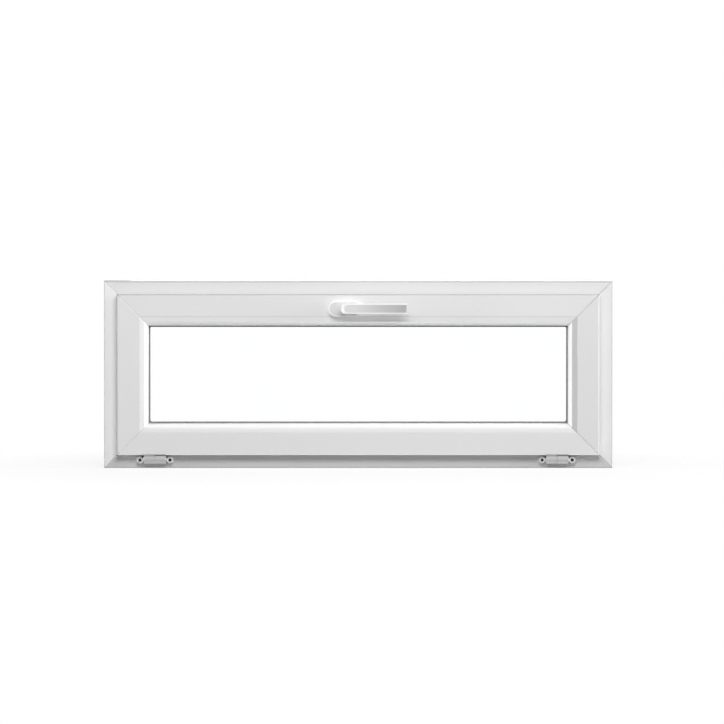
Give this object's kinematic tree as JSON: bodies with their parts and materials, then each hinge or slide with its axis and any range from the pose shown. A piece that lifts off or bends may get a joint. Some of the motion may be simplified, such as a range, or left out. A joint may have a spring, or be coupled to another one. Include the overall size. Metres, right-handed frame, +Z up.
{
  "type": "hopper window",
  "caption": "bottom-hung window with mitred plastic frame and sash, double glazing, glazing beads, surface hinges on the sill and a turning handle on the top rail",
  "frame": {"origin": "middle of the flat underside of the frame sill, at mid depth of the frame", "axes": "+X to the right seen from the room, +Y to the outside, +Z up"},
  "size_m": [1, 0.124, 0.368],
  "materials": {
    "frame_plastic": "white window plastic, satin",
    "sash_plastic": "white window plastic, satin",
    "bead_plastic": "white window plastic, satin",
    "cap_plastic": "white moulded plastic",
    "block_plastic": "moulded plastic",
    "seal_rubber": "grey sealing rubber",
    "clear_glass": "clear float glass",
    "spacer_metal": "satin spacer bar",
    "hinge_coating": "light grey coating",
    "handle_coating": "white powder coating, satin",
    "zinc_steel": "zinc plated"
  },
  "bodies": {
    "frame": {"frame_sill": "frame_plastic", "frame_head": "frame_plastic", "frame_left_jamb": "frame_plastic", "frame_right_jamb": "frame_plastic", "frame_seal": "seal_rubber", "left_drain_cap": "cap_plastic", "right_drain_cap": "cap_plastic", "left_hinge_plate": "hinge_coating", "right_hinge_plate": "hinge_coating", "left_hinge_pin": "zinc_steel", "right_hinge_pin": "zinc_steel", "left_striker": "zinc_steel", "right_striker": "zinc_steel"},
    "sash": {"sash_bottom_rail": "sash_plastic", "sash_top_rail": "sash_plastic", "sash_left_stile": "sash_plastic", "sash_right_stile": "sash_plastic", "sash_seal": "seal_rubber", "bottom_glazing_bead": "bead_plastic", "top_glazing_bead": "bead_plastic", "left_glazing_bead": "bead_plastic", "right_glazing_bead": "bead_plastic", "outer_pane": "clear_glass", "inner_pane": "clear_glass", "glass_spacer": "spacer_metal", "outer_glazing_gasket": "seal_rubber", "inner_glazing_gasket": "seal_rubber", "setting_blocks": "block_plastic", "left_hinge_leaf": "hinge_coating", "right_hinge_leaf": "hinge_coating", "lock_faceplate": "zinc_steel", "left_lock_cam": "zinc_steel", "right_lock_cam": "zinc_steel", "handle_rosette": "handle_coating"},
    "handle": {"handle_lever": "handle_coating", "handle_spindle": "zinc_steel"}
  },
  "joints": [
    {"name": "sash_tilt", "type": "hinge", "parent": "frame", "child": "sash", "pos_m": [0, -0.0414, 0.017], "axis": [1, 0, 0], "range_deg": [0, 45]},
    {"name": "handle_turn", "type": "hinge", "parent": "sash", "child": "handle", "pos_m": [-0.026, -0.07, 0.314], "axis": [0, 1, 0], "range_deg": [0, 90]}
  ]
}
